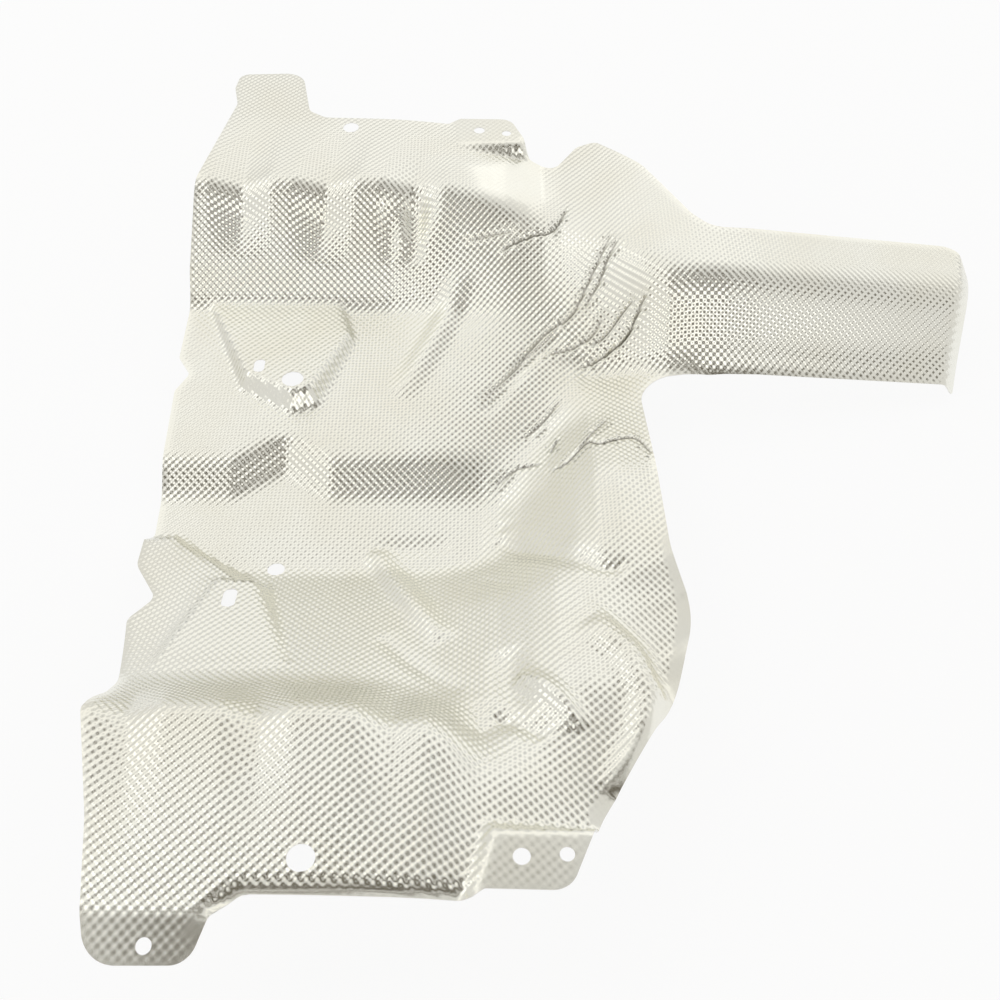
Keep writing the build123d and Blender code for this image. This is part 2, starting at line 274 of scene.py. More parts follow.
# Outline corners (x, y) and corner radius, clockwise from the far left tab
OUTLINE = [
    ((-260, 354), 8), ((-210, 356), 17), ((-199, 301), 9), ((-186, 292), 10), ((-90, 288), 4),
    ((-81, 295), 4), ((-42, 294), 12), ((-27, 256), 10), ((-9, 246), 8), ((9, 267), 8),
    ((23, 268), 9), ((56, 231), 50), ((87, 171), 30), ((101, 156), 18), ((283, 176), 14),
    ((295.4, 156), 16), ((286, 122), 20), ((276, 77), 5), ((80, 59), 10), ((45, 57), 22),
    ((48, -20), 100), ((51, -102), 100), ((61, -146), 70), ((44.5, -205), 120), ((0, -282), 40),
    ((-18, -324), 12), ((-57, -323), 3), ((-63, -327), 3), ((-166, -326), 9), ((-179, -337), 8),
    ((-186, -356.8), 12), ((-231, -356.8), 17), ((-236, -336), 8), ((-244, -290), 60),
    ((-259, -232), 6), ((-255, -212), 6), ((-257, -196), 6), ((-269, -138), 10), ((-257, -119), 9),
    ((-276, -88), 18), ((-278, -61), 4), ((-274, -54), 3), ((-278, 62), 8), ((-270, 78), 5),
    ((-280, 94), 7), ((-280, 165), 30), ((-274, 213), 40), ((-257, 311), 12), ((-262, 334), 8),
]

# Round holes: centre, diameter
ROUND_HOLES = [
    ((-206, -349), STUD_D), ((-141, -310), ACCESS_D), ((-40, -308), STUD_WIDE_D),
    ((-19, -307), STUD_D), ((-192, -82), FLOOR_D), ((-194, 63), WALL_PAD_D),
    ((-165, 279), RIM_D), ((-66, 279), STUD_WIDE_D), ((-45, 275), STUD_D),
]
# Slots: centre, width, length
SLOTS = [((-211, -123), 8.2, 15.5), ((-219, 77), 7.6, 13.0)]
# Corner radius of a round hole as a share of its half width, and of a slot as a share of its width
HOLE_ROUND = 0.999
SLOT_ROUND = 0.4

# Finishes: colour of the metal, colour of its stains, least and most roughness
SHEET_FINISH = ((0.885, 0.88, 0.81), (0.86, 0.845, 0.755), 0.21, 0.29)
EDGE_FINISH = ((0.86, 0.85, 0.82), (0.78, 0.76, 0.70), 0.35, 0.5)
# Colour of the painted shade in the fine creases
CREASE_SHADE_COLOUR = (0.10, 0.09, 0.065, 1)

# Noises of the finish: scale, detail; and the part of the cloudy noise that goes from metal to stain
CLOUD = (14.0, 4.0)
PATCH = (55.0, 3.0)
GRAIN = (1400.0, 2.0)
CLOUD_RANGE = (0.42, 0.72)

# Bumps: height in m, strength
EMBOSS_BUMP = (EMBOSS_RISE * MM, 1.0)
SHEET_GRAIN = (0.00004, 0.5)
EDGE_GRAIN = (0.00008, 1.0)

# Inputs and outputs of the finish
FINISH_SOCKETS = [
    ("Where", "INPUT", "NodeSocketVector"),
    ("Metal", "INPUT", "NodeSocketColor"),
    ("Stain", "INPUT", "NodeSocketColor"),
    ("Gloss Low", "INPUT", "NodeSocketFloat"),
    ("Gloss High", "INPUT", "NodeSocketFloat"),
    ("Color", "OUTPUT", "NodeSocketColor"),
    ("Roughness", "OUTPUT", "NodeSocketFloat"),
    ("Grain", "OUTPUT", "NodeSocketFloat"),
]

# Sockets of a node that mixes colours
MIX_SHARE = 0
MIX_A = 6
MIX_B = 7
MIX_OUT = 2

# Camera over the near edge: place in the press form's frame, degrees down, lens, sensor, near limit
CAMERA_AT = (-50.0, -537.0, 613.0)
CAMERA_PITCH = 50.0
CAMERA_LENS = 43.2
SENSOR = 36.0
CAMERA_NEAR = 0.01

# Floor: size in m, colour, roughness, share of plain white that camera and reflections see
FLOOR_SIZE = 12
FLOOR_COLOUR = (0.86, 0.86, 0.86, 1)
FLOOR_ROUGH = 0.9
FLOOR_GLOW = 0.9
WHITE = (1, 1, 1, 1)

# Sky and lamps: name, place, target, size in m, power in W, colour
SKY_COLOUR = (1.0, 0.99, 0.97, 1)
SKY_STRENGTH = 0.77
LAMPS = [
    ("back_softbox", (-0.5, 1.5, 1.7), (0, 0, 0.05), (2.2, 1.2), 2.6, (1.0, 0.99, 0.96)),
    ("back_right", (1.1, 1.4, 0.9), (0.1, 0, 0.05), (2.2, 0.9), 2.0, (1.0, 1.0, 0.98)),
    ("front_softbox", (0.1, -1.7, 1.1), (0, 0, 0.05), (2.4, 0.8), 4.8, (1.0, 0.99, 0.96)),
    ("top_left", (-1.3, 0.1, 1.6), (0, 0, 0.05), (1.0, 1.2), 2.5, (1.0, 1.0, 1.0)),
]

# Dark cards that the bumps reflect: colour and roughness; name, place, tilt, size in m
CARD_COLOUR = (0.10, 0.08, 0.045, 1)
CARD_ROUGH = 1.0
CARDS = [
    ("top_card", (0.3, -0.66, 1.5), 0.0, (1.9, 0.62)),
    ("middle_card", (0.1, 0.0, 1.5), 0.0, (1.7, 0.24)),
    ("front_card", (0.3, -2.0, 0.26), 90.0, (2.6, 0.5)),
]


# Press form

def section_lines(x):
    """y and z of the section lines at each x."""
    stations = [station for station, _ in SECTIONS]
    count = len(SECTIONS[0][1])
    ys = [np.interp(x, stations, [line[k][0] for _, line in SECTIONS]) for k in range(count)]
    zs = [np.interp(x, stations, [line[k][1] for _, line in SECTIONS]) for k in range(count)]
    return ys, zs


def area_under(ys, zs, y):
    """Area under the section lines from their start to y."""
    total = np.zeros_like(y)
    for ya, yb, za, zb in zip(ys, ys[1:], zs, zs[1:]):
        run = np.clip(y, ya, yb) - ya
        total += run * (za + (zb - za) * run / (yb - ya) / 2)
    return total


def base_height(x, y):
    """Section height with its bends rounded along y and x."""
    reach = np.clip((y - JOG_NEAR_Y) / JOG_BLEND, 0, 1) * np.clip((JOG_FAR_Y - y) / JOG_BLEND, 0, 1)
    y = y - JOG_Y * np.clip(1 - np.abs(x - JOG_X) / JOG_W, 0, 1) * reach
    arm = np.clip((x - ARM_X) / ARM_RUN, 0, 1)
    bend = BEND + (ARM_BEND - BEND) * arm
    blend = SECTION_BLEND + (ARM_BLEND - SECTION_BLEND) * arm
    total = np.zeros_like(y)
    for side, share in BLEND_SHARES:
        ys, zs = section_lines(x + side * blend)
        total += share * (area_under(ys, zs, y + bend) - area_under(ys, zs, y - bend)) / (2 * bend)
    return total


def along(points, x, y):
    """Distance from a chain of points, and how far along it from 0 to 1."""
    best = np.full(x.shape, np.inf)
    where = np.zeros_like(x)
    count = len(points) - 1
    for i, ((xa, ya), (xb, yb)) in enumerate(zip(points, points[1:])):
        dx, dy = xb - xa, yb - ya
        k = np.clip(((x - xa) * dx + (y - ya) * dy) / (dx * dx + dy * dy), 0, 1)
        gap = np.hypot(x - xa - k * dx, y - ya - k * dy)
        nearer = gap < best
        best = np.where(nearer, gap, best)
        where = np.where(nearer, (i + k) / count, where)
    return best, where


def smooth_line(points):
    """Points of a smooth curve that runs through the given points."""
    ends = [points[0]] + points + [points[-1]]
    line = []
    for a, b, c, d in zip(ends, ends[1:], ends[2:], ends[3:]):
        for i in range(CREASE_CUTS):
            t = i / CREASE_CUTS
            line.append(tuple(
                0.5 * (2 * q + (r - p) * t + (2 * p - 5 * q + 4 * r - s) * t ** 2
                       + (3 * q - p - 3 * r + s) * t ** 3)
                for p, q, r, s in zip(a, b, c, d)))
    return line + [points[-1]]


def ease(k):
    """Smooth step from 0 to 1."""
    return k * k * (3 - 2 * k)


def end_fade(where, power):
    """1 in the middle of a line, falling to 0 at both ends."""
    return np.sin(math.pi * where).clip(0) ** power


def groove(ends, x, y, depth, width, fall):
    """V groove, deepest over the ridge near its start, that fades out to both ends."""
    gap, where = along(ends, x, y)
    fade = np.minimum(1, where / GROOVE_PEAK) * np.minimum(1, (1 - where) / (1 - GROOVE_PEAK)) ** fall
    return -depth * np.maximum(0, 1 - gap / width) * fade


def fold(points, x, y, height, width):
    """Rounded ridge or hollow that fades out to both ends."""
    gap, where = along(points, x, y)
    fade = end_fade(where, FOLD_FADE)
    return height * fade * (0.5 + 0.5 * np.cos(math.pi * np.minimum(gap / width, 1)))


def crease(points, x, y, height, width):
    """Sharp ridge or crease that fades out to both ends."""
    gap, where = along(smooth_line(points), x, y)
    fade = end_fade(where, CREASE_FADE)
    return height * fade * np.maximum(0, 1 - gap / width) ** CREASE_SHARP


def painted_crease_shade(x, y):
    """Share of painted shade in the fine creases, from 0 to 1, fuller where a crease is deeper."""
    most = np.zeros_like(x)
    for points, rise, width in CREASES:
        if width <= FINE_W:
            gap, where = along(smooth_line(points), x, y)
            full = min(1.0, -rise / CREASE_SHADE_DEPTH) * end_fade(where, CREASE_FADE)
            most = np.maximum(most, full * np.clip(1 - gap / CREASE_SHADE_W, 0, 1))
    return most


def lip(start, end, slope, from_x, x, y):
    """Drop of an edge bent down past a line."""
    (xa, ya), (xb, yb) = start, end
    past = np.maximum(0, (x - xa) * (yb - ya) - (y - ya) * (xb - xa)) / math.hypot(xb - xa, yb - ya)
    bent = np.where(past < LIP_BEND, past * past / (2 * LIP_BEND), past - LIP_BEND / 2)
    return -slope * bent * np.clip((x - from_x) / LIP_BLEND, 0, 1)


def flange(x, y):
    """Drop on the right of the bulge's edge."""
    gap, where = along(FLANGE_STEP, x, y)
    line = np.array(FLANGE_STEP, float)
    i = np.minimum((where * (len(line) - 1)).astype(int), len(line) - 2)
    a, b = line[i], line[i + 1]
    right = (x - a[:, 0]) * (b[:, 1] - a[:, 1]) - (y - a[:, 1]) * (b[:, 0] - a[:, 0]) <= 0
    k = np.minimum(gap / FLANGE_RUN, 1)
    fade = np.minimum(1, where / FLANGE_FADE) * np.minimum(1, (1 - where) / FLANGE_FADE)
    return np.where(right, -FLANGE_DROP * ease(k) * fade, 0.0)


def outside(corners, x, y):
    """Distance outside a convex shape."""
    out = np.zeros_like(x)
    cx = sum(c[0] for c in corners) / len(corners)
    cy = sum(c[1] for c in corners) / len(corners)
    for (xa, ya), (xb, yb) in zip(corners, corners[1:] + corners[:1]):
        nx, ny = yb - ya, xa - xb
        size = math.hypot(nx, ny)
        turn = 1.0 if (cx - xa) * nx + (cy - ya) * ny < 0 else -1.0
        out = np.maximum(out, turn * ((x - xa) * nx + (y - ya) * ny) / size)
    return out


def softer_max(a, b, width):
    """Larger of two heights, rounded where they meet."""
    k = np.maximum(0, 1 - np.abs(a - b) / width)
    return np.maximum(a, b) + width * k * k / 4


def flat_share(corners, run, x, y):
    """1 on a pressed flat, falling to 0 over the step around it."""
    return ease(np.maximum(0, 1 - outside(corners, x, y) / run))


def height(x, y):
    """Height of the sheet's upper side."""
    z = base_height(x, y)
    for ends in APRON_GROOVES:
        z += groove(ends, x, y, APRON_GROOVE_D, APRON_GROOVE_W, APRON_GROOVE_FALL)
    for ends in RIM_GROOVES:
        z += groove(ends, x, y, RIM_GROOVE_D, RIM_GROOVE_W, RIM_GROOVE_FALL)
    for corners, top, lean, side in PADS:
        plane = top + lean * (y - corners[0][1])
        z = softer_max(z, plane - side * outside(corners, x, y), PAD_BLEND)
    for points, rise, width in FOLDS:
        z += fold(points, x, y, rise, width)
    for points, rise, width in CREASES:
        z += crease(points, x, y, rise, width)
    for start, end, slope, from_x in LIPS:
        z += lip(start, end, slope, from_x, x, y)
    z += flange(x, y)
    z -= JOGGLE_D * flat_share(JOGGLE, JOGGLE_RUN, x, y)
    for corners, level, at_y, lean, run in FLATS:
        k = flat_share(corners, run, x, y)
        z = z + (level + lean * (y - at_y) - z) * k
    return z


def edge_gap(x, y):
    """Distance from the trimmed outline."""
    line = rounded(OUTLINE)
    gap, _ = along(line + line[:1], x, y)
    return gap


def emboss_share(x, y):
    """Share of the embossing that is left at the trimmed edge and where the press tool flattened it."""
    share = 1 - EDGE_LOST * np.clip(1 - edge_gap(x, y) / EDGE_COIN, 0, 1)
    for corners, run, lost in COINED:
        share *= 1 - lost * flat_share(corners, run, x, y)
    gap, _ = along(SMOOTH_STRIP, x, y)
    return share * (1 - STRIP_LOST * np.clip((STRIP_HALF + STRIP_RUN - gap) / STRIP_RUN, 0, 1))


# Mesh helpers

def only(obj):
    """Makes one object the selected and active one."""
    bpy.ops.object.select_all(action="DESELECT")
    obj.select_set(True)
    bpy.context.view_layer.objects.active = obj


def coords(mesh):
    """Vertex places as an array."""
    flat = np.empty(len(mesh.vertices) * 3)
    mesh.vertices.foreach_get("co", flat)
    return flat.reshape(-1, 3)


def set_coords(mesh, places):
    """Moves the vertices to the given places."""
    mesh.vertices.foreach_set("co", np.ascontiguousarray(places).ravel())
    mesh.update()


def select_only(piece, kind, chosen):
    """Selects the chosen vertices or faces of a piece and nothing else."""
    bpy.ops.object.mode_set(mode="EDIT")
    bpy.ops.mesh.select_mode(type=kind)
    bpy.ops.mesh.select_all(action="DESELECT")
    bpy.ops.object.mode_set(mode="OBJECT")
    parts = piece.data.vertices if kind == "VERT" else piece.data.polygons
    parts.foreach_set("select", chosen)


def rounded(corners):
    """Closed outline with each corner rounded by its radius."""
    points = []
    count = len(corners)
    for i, (corner, radius) in enumerate(corners):
        here = np.array(corner, float)
        back = np.array(corners[i - 1][0], float) - here
        on = np.array(corners[(i + 1) % count][0], float) - here
        back /= np.linalg.norm(back)
        on /= np.linalg.norm(on)
        half = math.acos(max(-1.0, min(1.0, float(back @ on)))) / 2
        reach = radius / math.tan(half)
        centre = here + (back + on) / np.linalg.norm(back + on) * radius / math.sin(half)
        start = here + back * reach - centre
        end = here + on * reach - centre
        turn = math.atan2(start[0] * end[1] - start[1] * end[0], float(start @ end))
        steps = max(2, int(abs(turn) * radius / ARC_STEP))
        for k in range(steps + 1):
            a = turn * k / steps
            c, s = math.cos(a), math.sin(a)
            points.append(centre + [c * start[0] - s * start[1], s * start[0] + c * start[1]])
    return points


def round_box(centre, half_x, half_y, radius):
    """Outline of a hole or slot about its centre."""
    x, y = centre
    corners = [(x - half_x, y - half_y), (x + half_x, y - half_y),
               (x + half_x, y + half_y), (x - half_x, y + half_y)]
    return rounded([(corner, radius) for corner in corners])


def prism(name, outlines):
    """Closed cutter through the blank, one upright prism per outline, in mm."""
    mesh = bpy.data.meshes.new(name)
    verts = []
    faces = []
    for outline in outlines:
        faces.append(list(range(len(verts), len(verts) + len(outline))))
        verts += [(p[0], p[1], -CUTTER_REACH) for p in outline]
    mesh.from_pydata(verts, [], faces)
    cutter = bpy.data.objects.new(name, mesh)
    bpy.context.scene.collection.objects.link(cutter)
    only(cutter)
    bpy.ops.object.mode_set(mode="EDIT")
    bpy.ops.mesh.select_all(action="SELECT")
    bpy.ops.mesh.extrude_region_move(TRANSFORM_OT_translate={"value": (0, 0, 2 * CUTTER_REACH)})
    bpy.ops.mesh.select_all(action="SELECT")
    bpy.ops.mesh.normals_make_consistent(inside=False)
    bpy.ops.object.mode_set(mode="OBJECT")
    return cutter


def trim(piece, cutter, operation):
    """Cuts the flat blank with a cutter and removes the cutter."""
    cut = piece.modifiers.new("trim", "BOOLEAN")
    cut.object = cutter
    cut.operation = operation
    cut.solver = "EXACT"
    only(piece)
    bpy.ops.object.modifier_apply(modifier="trim")
    bpy.data.objects.remove(cutter)
    off_plane = np.abs(coords(piece.data)[:, 2]) > OFF_PLANE
    select_only(piece, "VERT", off_plane)
    bpy.ops.object.mode_set(mode="EDIT")
    bpy.ops.mesh.delete(type="VERT")
    bpy.ops.object.mode_set(mode="OBJECT")


# Sheet

def surface_length(x, ys):
    """Length along the pressed surface from the row line, at each y of a column."""
    z = base_height(np.full_like(ys, x), ys)
    length = np.concatenate([[0.0], np.cumsum(np.hypot(np.diff(ys), np.diff(z)))])
    return length - np.interp(ROW_ZERO_Y, ys, length)


def embossing_grid():
    """Columns and rows at half the embossing's pitch, and the surface length down each column."""
    edge_x = [corner[0] for corner, _ in OUTLINE]
    edge_y = [corner[1] for corner, _ in OUTLINE]
    first = math.floor((min(edge_x) - TRIM_MARGIN) / HALF_X)
    last = math.ceil((max(edge_x) + TRIM_MARGIN) / HALF_X)
    columns = np.arange(first, last + 1)
    profile = np.arange(min(edge_y) - TRIM_MARGIN, max(edge_y) + TRIM_MARGIN, PROFILE_STEP)
    lengths = np.array([surface_length(c * HALF_X, profile) for c in columns])
    rows = np.arange(math.floor(lengths.min() / HALF_Y), math.ceil(lengths.max() / HALF_Y) + 1)
    return columns, rows, profile, lengths


def flat_blank(columns, rows, profile, lengths):
    """Flat grid whose corners lie on the high, low and level points of the embossing."""
    bpy.ops.mesh.primitive_grid_add(
        x_subdivisions=len(columns) - 1, y_subdivisions=len(rows) - 1, size=2)
    sheet = bpy.context.object
    sheet.name = "embossed_sheet"
    spots = coords(sheet.data)
    i = np.rint((spots[:, 0] + 1) / 2 * (len(columns) - 1)).astype(int)
    j = np.rint((spots[:, 1] + 1) / 2 * (len(rows) - 1)).astype(int)
    places = np.zeros_like(spots)
    places[:, 0] = columns[i] * HALF_X
    for c in range(len(columns)):
        on = i == c
        want = rows[j[on]] * HALF_Y
        past = np.minimum(0, want - lengths[c][0]) + np.maximum(0, want - lengths[c][-1])
        places[on, 1] = np.interp(want, lengths[c], profile) + past
    set_coords(sheet.data, places)
    return sheet


def cut_blank(sheet):
    """Trims the flat blank to its outline, cuts its holes and merges slivers."""
    trim(sheet, prism("outline_cutter", [rounded(OUTLINE)]), "INTERSECT")
    holes = []
    for centre, size in ROUND_HOLES:
        half = size / 2
        holes.append(round_box(centre, half, half, half * HOLE_ROUND))
    for centre, wide, tall in SLOTS:
        holes.append(round_box(centre, wide / 2, tall / 2, wide * SLOT_ROUND))
    trim(sheet, prism("hole_cutter", holes), "DIFFERENCE")
    only(sheet)
    bpy.ops.object.mode_set(mode="EDIT")
    bpy.ops.mesh.select_all(action="SELECT")
    bpy.ops.mesh.remove_doubles(threshold=MERGE_GAP)
    bpy.ops.mesh.normals_make_consistent(inside=False)
    bpy.ops.object.mode_set(mode="OBJECT")


def lattice_length(x, y, columns, profile, lengths):
    """Surface length at each place, between the two columns beside it."""
    column = np.clip(x / HALF_X - columns[0], 0, len(columns) - 1)
    low = np.minimum(np.floor(column).astype(int), len(columns) - 2)
    share = column - low
    length = np.empty_like(x)
    for c in range(len(columns) - 1):
        on = low == c
        if on.any():
            left = np.interp(y[on], profile, lengths[c])
            right = np.interp(y[on], profile, lengths[c + 1])
            length[on] = left + (right - left) * share[on]
    return length


def press(sheet, x, y, rise):
    """Presses the blank, with the embossing square to the form; returns the shift to the frame."""
    slope_x = (height(x + SLOPE_STEP, y) - height(x - SLOPE_STEP, y)) / (2 * SLOPE_STEP)
    slope_y = (height(x, y + SLOPE_STEP) - height(x, y - SLOPE_STEP)) / (2 * SLOPE_STEP)
    normal = np.stack([-slope_x, -slope_y, np.ones_like(x)], axis=1)
    normal /= np.linalg.norm(normal, axis=1)[:, None]
    pressed = np.stack([x, y, height(x, y) - SHEET_T / 2], axis=1)
    pressed += normal * rise[:, None]
    shift = np.array([-(x.min() + x.max()) / 2, -(y.min() + y.max()) / 2, FLOOR_LIFT])
    set_coords(sheet.data, (pressed + shift) * MM)
    return shift


def make_sheet():
    """Blank gridded on the embossing, trimmed flat, then pressed and given its metal thickness."""
    columns, rows, profile, lengths = embossing_grid()
    sheet = flat_blank(columns, rows, profile, lengths)
    cut_blank(sheet)
    refine_creases(sheet)

    flat = coords(sheet.data)
    x, y = flat[:, 0], flat[:, 1]
    u = x / EMBOSS_X
    v = lattice_length(x, y, columns, profile, lengths) / EMBOSS_Y
    wave = np.cos(2 * math.pi * u) * np.cos(2 * math.pi * v)
    left = emboss_share(x, y)
    lattice(sheet.data, u, v, left, painted_crease_shade(x, y))
    split_on_valleys(sheet, wave)
    shift = press(sheet, x, y, wave * left * EMBOSS_RISE)

    shell = sheet.modifiers.new("metal", "SOLIDIFY")
    shell.thickness = METAL_T * MM
    shell.offset = 0.0
    shell.material_offset_rim = EDGE_SLOT
    return sheet, shift


def refine_creases(sheet):
    """Halves the mesh along the fine creases, and again close to them."""
    for reach in FINE_REACH:
        mesh = sheet.data
        centres = np.empty(len(mesh.polygons) * 3)
        mesh.polygons.foreach_get("center", centres)
        centres = centres.reshape(-1, 3)
        near = np.zeros(len(centres), bool)
        for points, _, width in CREASES:
            if width <= FINE_W:
                gap, _ = along(smooth_line(points), centres[:, 0], centres[:, 1])
                near |= gap < reach
        select_only(sheet, "FACE", near)
        bpy.ops.object.mode_set(mode="EDIT")
        bpy.ops.mesh.subdivide(number_cuts=1, quadcorner="INNERVERT")
        bpy.ops.object.mode_set(mode="OBJECT")


def lattice(mesh, u, v, left, painted_shade):
    """Embossing coordinates as a UV map; what is left of the embossing, and the painted shade of the
    fine creases, as attributes.
    """
    uv = mesh.uv_layers.new(name="embossing")
    corner = np.empty(len(mesh.loops), int)
    mesh.loops.foreach_get("vertex_index", corner)
    uv.data.foreach_set("uv", np.stack([u[corner], v[corner]], axis=1).ravel())
    for name, values in (("embossed", left), ("painted_crease_shade", painted_shade)):
        layer = mesh.attributes.new(name, "FLOAT", "POINT")
        layer.data.foreach_set("value", values)


def split_on_valleys(sheet, wave):
    """Splits each cell between its two low corners, so each bump is a small pyramid."""
    only(sheet)
    for method, low_first in (("FIXED", True), ("FIXED_ALTERNATE", False)):
        mesh = sheet.data
        chosen = np.zeros(len(mesh.polygons), bool)
        for face in mesh.polygons:
            if face.loop_total == 4:
                chosen[face.index] = (wave[face.vertices[0]] < wave[face.vertices[1]]) == low_first
        select_only(sheet, "FACE", chosen)
        bpy.ops.object.mode_set(mode="EDIT")
        bpy.ops.mesh.quads_convert_to_tris(quad_method=method, ngon_method="BEAUTY")
        bpy.ops.object.mode_set(mode="OBJECT")


def finish_sheet(sheet):
    """Applies the metal thickness and keeps its cut edge crisp."""
    only(sheet)
    bpy.ops.object.modifier_apply(modifier="metal")
    mesh = sheet.data
    bpy.ops.object.shade_smooth()
    slots = np.empty(len(mesh.polygons), int)
    mesh.polygons.foreach_get("material_index", slots)
    select_only(sheet, "FACE", slots == EDGE_SLOT)
    bpy.ops.object.mode_set(mode="EDIT")
    bpy.ops.mesh.region_to_loop()
    bpy.ops.mesh.mark_sharp()
    bpy.ops.object.mode_set(mode="OBJECT")


# Materials

def new_material(name):
    """New material with its nodes, links and shader."""
    material = bpy.data.materials.new(name)
    material.use_nodes = True
    nodes = material.node_tree.nodes
    return material, nodes, material.node_tree.links, nodes["Principled BSDF"]


def math_node(nodes, links, operation, a, b=None):
    """Math node on sockets or numbers; returns its output."""
    node = nodes.new("ShaderNodeMath")
    node.operation = operation
    for slot, value in enumerate((a, b)):
        if isinstance(value, (int, float)):
            node.inputs[slot].default_value = value
        elif value is not None:
            links.new(value, node.inputs[slot])
    return node.outputs[0]


def noise_node(nodes, links, where, scale, detail):
    """Noise at the given coordinates; returns its output."""
    node = nodes.new("ShaderNodeTexNoise")
    node.inputs["Scale"].default_value = scale
    node.inputs["Detail"].default_value = detail
    links.new(where, node.inputs["Vector"])
    return node.outputs["Fac"]


def mix_node(nodes, links, share, a):
    """Mix from a colour socket to its second colour by a share."""
    node = nodes.new("ShaderNodeMix")
    node.data_type = "RGBA"
    links.new(share, node.inputs[MIX_SHARE])
    links.new(a, node.inputs[MIX_A])
    return node


def bump_node(nodes, links, rise, distance, strength):
    """Bump from a height socket."""
    node = nodes.new("ShaderNodeBump")
    node.inputs["Distance"].default_value = distance
    node.inputs["Strength"].default_value = strength
    links.new(rise, node.inputs["Height"])
    return node


def attribute_node(nodes, name):
    """Value of a point attribute; returns its output."""
    node = nodes.new("ShaderNodeAttribute")
    node.attribute_name = name
    return node.outputs["Fac"]


def rolled_surface():
    """Shared finish of rolled sheet: cloudy tone, uneven gloss and a fine grain."""
    group = bpy.data.node_groups.new("rolled_surface", "ShaderNodeTree")
    for label, way, kind in FINISH_SOCKETS:
        group.interface.new_socket(label, in_out=way, socket_type=kind)
    nodes, links = group.nodes, group.links
    given = nodes.new("NodeGroupInput")
    out = nodes.new("NodeGroupOutput")
    cloud = noise_node(nodes, links, given.outputs["Where"], *CLOUD)
    tone = nodes.new("ShaderNodeMapRange")
    tone.inputs["From Min"].default_value = CLOUD_RANGE[0]
    tone.inputs["From Max"].default_value = CLOUD_RANGE[1]
    links.new(cloud, tone.inputs["Value"])
    colour = mix_node(nodes, links, tone.outputs["Result"], given.outputs["Metal"])
    links.new(given.outputs["Stain"], colour.inputs[MIX_B])
    links.new(colour.outputs[MIX_OUT], out.inputs["Color"])
    patch = noise_node(nodes, links, given.outputs["Where"], *PATCH)
    gloss = nodes.new("ShaderNodeMapRange")
    links.new(patch, gloss.inputs["Value"])
    links.new(given.outputs["Gloss Low"], gloss.inputs["To Min"])
    links.new(given.outputs["Gloss High"], gloss.inputs["To Max"])
    links.new(gloss.outputs["Result"], out.inputs["Roughness"])
    grain = noise_node(nodes, links, given.outputs["Where"], *GRAIN)
    links.new(grain, out.inputs["Grain"])
    return group


def place_finish(nodes, links, group, metal, stain, gloss_low, gloss_high):
    """Puts the shared finish into a material with its own values."""
    where = nodes.new("ShaderNodeTexCoord")
    node = nodes.new("ShaderNodeGroup")
    node.node_tree = group
    links.new(where.outputs["Object"], node.inputs["Where"])
    node.inputs["Metal"].default_value = (*metal, 1)
    node.inputs["Stain"].default_value = (*stain, 1)
    node.inputs["Gloss Low"].default_value = gloss_low
    node.inputs["Gloss High"].default_value = gloss_high
    return node


def embossing_height(nodes, links):
    """Height of the bumps from the embossing coordinates, where they are left; returns its output."""
    uv = nodes.new("ShaderNodeUVMap")
    uv.uv_map = "embossing"
    parts = nodes.new("ShaderNodeSeparateXYZ")
    links.new(uv.outputs["UV"], parts.inputs[0])
    waves = []
    for axis in range(2):
        turn = math_node(nodes, links, "MULTIPLY", parts.outputs[axis], 2 * math.pi)
        waves.append(math_node(nodes, links, "COSINE", turn))
    bumps = math_node(nodes, links, "MULTIPLY", *waves)
    return math_node(nodes, links, "MULTIPLY", bumps, attribute_node(nodes, "embossed"))


def embossed_aluminium(group):
    """Bare rolled aluminium with its embossing, and painted shade darkening its fine creases."""
    material, nodes, links, shader = new_material("embossed_aluminium")
    finish = place_finish(nodes, links, group, *SHEET_FINISH)
    # Painted shade: the fine creases darken the base colour towards a dark olive.
    colour = mix_node(nodes, links, attribute_node(nodes, "painted_crease_shade"), finish.outputs["Color"])
    colour.inputs[MIX_B].default_value = CREASE_SHADE_COLOUR
    links.new(colour.outputs[MIX_OUT], shader.inputs["Base Color"])
    links.new(finish.outputs["Roughness"], shader.inputs["Roughness"])
    shader.inputs["Metallic"].default_value = 1.0
    emboss = bump_node(nodes, links, embossing_height(nodes, links), *EMBOSS_BUMP)
    grain = bump_node(nodes, links, finish.outputs["Grain"], *SHEET_GRAIN)
    links.new(emboss.outputs["Normal"], grain.inputs["Normal"])
    links.new(grain.outputs["Normal"], shader.inputs["Normal"])
    return material


def cut_edge(group):
    """Duller metal of the trimmed edge."""
    material, nodes, links, shader = new_material("cut_edge")
    finish = place_finish(nodes, links, group, *EDGE_FINISH)
    links.new(finish.outputs["Color"], shader.inputs["Base Color"])
    links.new(finish.outputs["Roughness"], shader.inputs["Roughness"])
    shader.inputs["Metallic"].default_value = 1.0
    grain = bump_node(nodes, links, finish.outputs["Grain"], *EDGE_GRAIN)
    links.new(grain.outputs["Normal"], shader.inputs["Normal"])
    return material


# Stage

def matte(shader, colour, rough):
    """Sets a shader to a plain surface without shine."""
    shader.inputs["Base Color"].default_value = colour
    shader.inputs["Roughness"].default_value = rough
    shader.inputs["Specular IOR Level"].default_value = 0.0


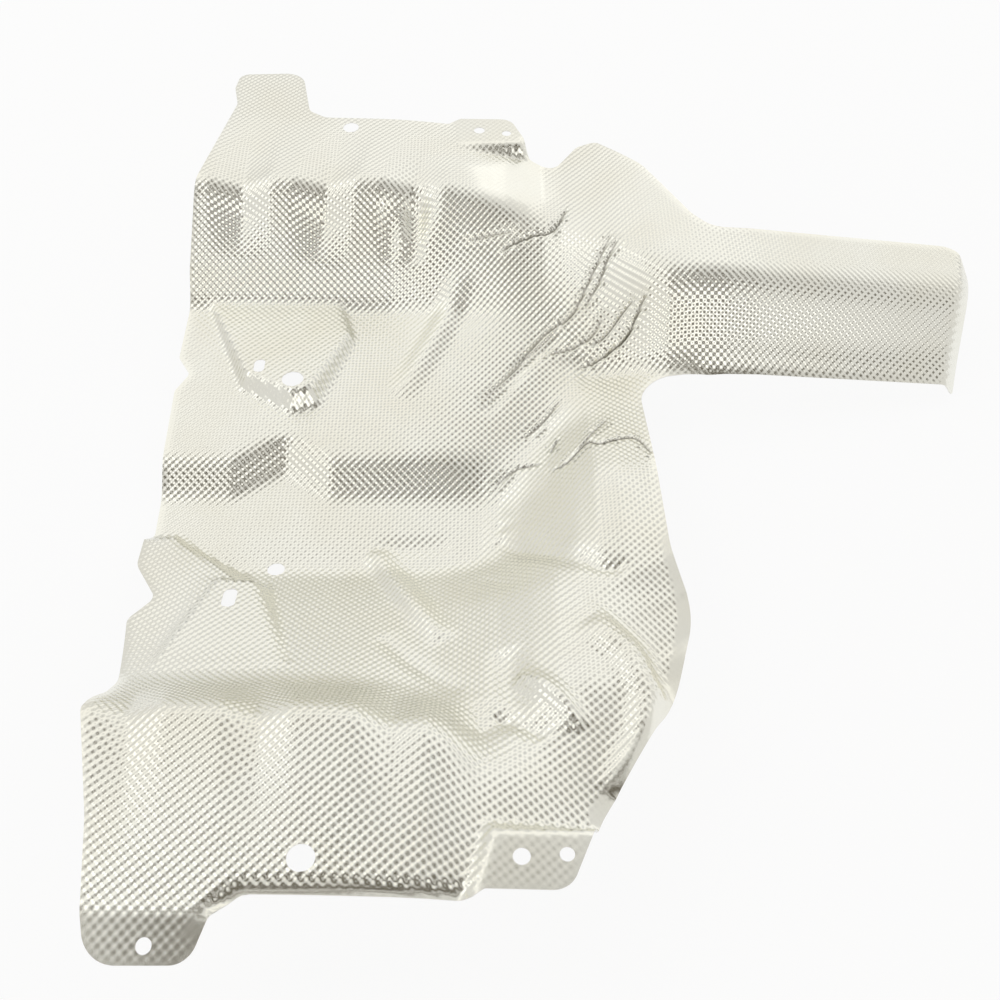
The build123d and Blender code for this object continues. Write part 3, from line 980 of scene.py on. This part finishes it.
def floor_material():
    """White floor to the camera and in reflections, with a faint shadow kept."""
    material, nodes, links, shader = new_material("white_floor")
    matte(shader, FLOOR_COLOUR, FLOOR_ROUGH)
    glow = nodes.new("ShaderNodeEmission")
    glow.inputs["Color"].default_value = WHITE
    glow.inputs["Strength"].default_value = 1.0
    ray = nodes.new("ShaderNodeLightPath").outputs
    seen = math_node(nodes, links, "MAXIMUM", ray["Is Camera Ray"], ray["Is Glossy Ray"])
    seen = math_node(nodes, links, "MAXIMUM", seen, ray["Is Transmission Ray"])
    share = math_node(nodes, links, "MULTIPLY", seen, FLOOR_GLOW)
    mixed = nodes.new("ShaderNodeMixShader")
    links.new(share, mixed.inputs[0])
    links.new(shader.outputs[0], mixed.inputs[1])
    links.new(glow.outputs[0], mixed.inputs[2])
    links.new(mixed.outputs[0], nodes["Material Output"].inputs["Surface"])
    return material


def make_stage():
    """White floor under the sheet, and the dark cards, which the camera does not see."""
    bpy.ops.mesh.primitive_plane_add(size=FLOOR_SIZE, location=(0, 0, 0))
    floor = bpy.context.object
    floor.name = "floor"
    floor.data.materials.append(floor_material())
    dark, _, _, shader = new_material("dark_card")
    matte(shader, CARD_COLOUR, CARD_ROUGH)
    for name, place, tilt, size in CARDS:
        bpy.ops.mesh.primitive_plane_add(size=1, location=place, rotation=(math.radians(tilt), 0, 0))
        card = bpy.context.object
        card.name = name
        card.scale = (*size, 1.0)
        card.visible_camera = False
        card.data.materials.append(dark)


def add_light(name, place, target, size, power, colour):
    """Area lamp at a place, turned to its target."""
    data = bpy.data.lights.new(name, "AREA")
    data.shape = "RECTANGLE"
    data.size, data.size_y = size
    data.energy = power
    data.color = colour
    lamp = bpy.data.objects.new(name, data)
    bpy.context.scene.collection.objects.link(lamp)
    lamp.location = place
    aim = np.array(target) - np.array(place)
    down = math.acos(-aim[2] / np.linalg.norm(aim))
    lamp.rotation_euler = (down, 0, math.atan2(aim[1], aim[0]) - math.pi / 2)


def light_scene():
    """Bright sky, the lamps and the plain view transform."""
    world = bpy.data.worlds.new("studio")
    world.use_nodes = True
    sky = world.node_tree.nodes["Background"]
    sky.inputs["Color"].default_value = SKY_COLOUR
    sky.inputs["Strength"].default_value = SKY_STRENGTH
    bpy.context.scene.world = world
    for lamp in LAMPS:
        add_light(*lamp)
    bpy.context.scene.view_settings.view_transform = "Standard"


def place_camera(shift):
    """Camera of the photo, moved with the sheet into the frame."""
    data = bpy.data.cameras.new("camera")
    data.lens = CAMERA_LENS
    data.sensor_width = SENSOR
    data.clip_start = CAMERA_NEAR
    camera = bpy.data.objects.new("camera", data)
    bpy.context.scene.collection.objects.link(camera)
    camera.location = (np.array(CAMERA_AT) + shift) * MM
    camera.rotation_euler = (math.radians(90 - CAMERA_PITCH), 0, 0)
    bpy.context.scene.camera = camera


sheet, shift = make_sheet()
rolled = rolled_surface()
sheet.data.materials.clear()
sheet.data.materials.append(embossed_aluminium(rolled))
sheet.data.materials.append(cut_edge(rolled))
finish_sheet(sheet)
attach(sheet, "root")
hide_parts("heat_shield")

make_stage()
light_scene()
place_camera(shift)
